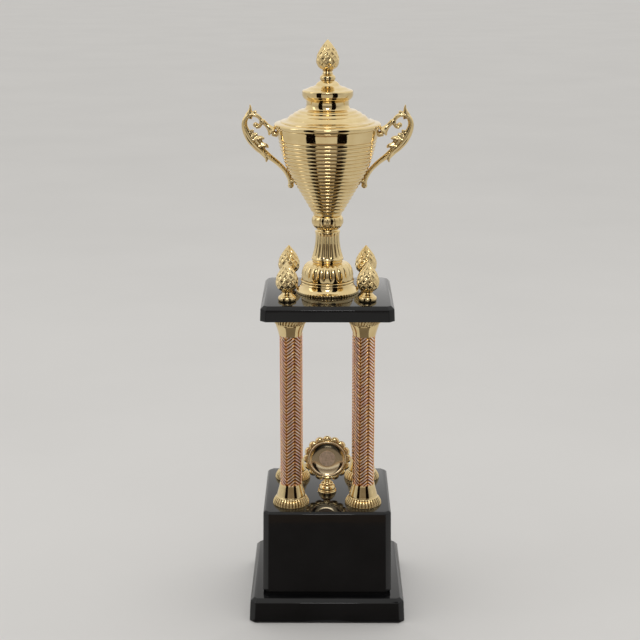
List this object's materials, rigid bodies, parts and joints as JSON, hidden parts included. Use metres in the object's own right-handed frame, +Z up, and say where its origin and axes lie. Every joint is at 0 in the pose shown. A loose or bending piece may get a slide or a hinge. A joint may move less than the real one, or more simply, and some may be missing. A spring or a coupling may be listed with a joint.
{
  "type": "column trophy",
  "caption": "Trophy on a black block base: textured columns carry a square deck with a two-handled lidded cup, corner finials and a standing blank medallion.",
  "frame": {"origin": "middle of the footprint, on the table", "axes": "+Z up along the trophy's height, -Y towards the front with the medallion, +X to the viewer's right"},
  "size_m": [0.1842, 0.1714, 0.6291],
  "materials": {
    "gold": "bright gold metallised plastic, mirror gloss",
    "rosy_foil": "rosy gold metallised tube, herringbone texture",
    "black_gloss": "black gloss moulding",
    "black_matte": "matte black",
    "cover_board": "pressed board",
    "pad_rubber": "matte",
    "ballast": "rough",
    "steel": "plated",
    "insert_matte": "matte brownish grey"
  },
  "bodies": {
    "stand": {"base_plate": "black_gloss", "bottom_cover": "cover_board", "foot_pads": "pad_rubber", "cover_screws": "steel", "ballast_weight": "ballast", "plinth_screws": "steel", "plinth_block": "black_gloss", "deck": "black_gloss", "deck_underplate": "black_matte", "underplate_screws": "steel", "tie_rod_nuts": "steel", "tie_rod_washers": "steel", "medal_stem": "gold", "medal_rim": "gold", "medal_dish": "gold", "medal_insert": "insert_matte", "medal_screw": "steel", "cup_base_ring": "gold", "cup_dome": "gold", "cup_stem": "gold", "cup_knop": "gold", "cup_bowl": "gold", "cup_rod": "steel", "cup_nuts": "steel", "cup_washers": "steel", "handle_left": "gold", "handle_right": "gold", "handle_screws": "steel", "column_front_left": "rosy_foil", "column_front_right": "rosy_foil", "column_back_left": "rosy_foil", "column_back_right": "rosy_foil", "column_foot_front_left": "gold", "column_foot_front_right": "gold", "column_foot_back_left": "gold", "column_foot_back_right": "gold", "column_capital_front_left": "gold", "column_capital_front_right": "gold", "column_capital_back_left": "gold", "column_capital_back_right": "gold", "tie_rod_front_left": "steel", "tie_rod_front_right": "steel", "tie_rod_back_left": "steel", "tie_rod_back_right": "steel", "corner_finial_front_left": "gold", "corner_finial_front_right": "gold", "corner_finial_back_left": "gold", "corner_finial_back_right": "gold"},
    "lid": {"lid": "gold", "lid_finial": "gold", "lid_screw": "steel"}
  },
  "joints": [
    {"name": "lid_lift", "type": "slide", "parent": "stand", "child": "lid", "axis": [0, 0, 1], "range_m": [0, 0.08]}
  ]
}
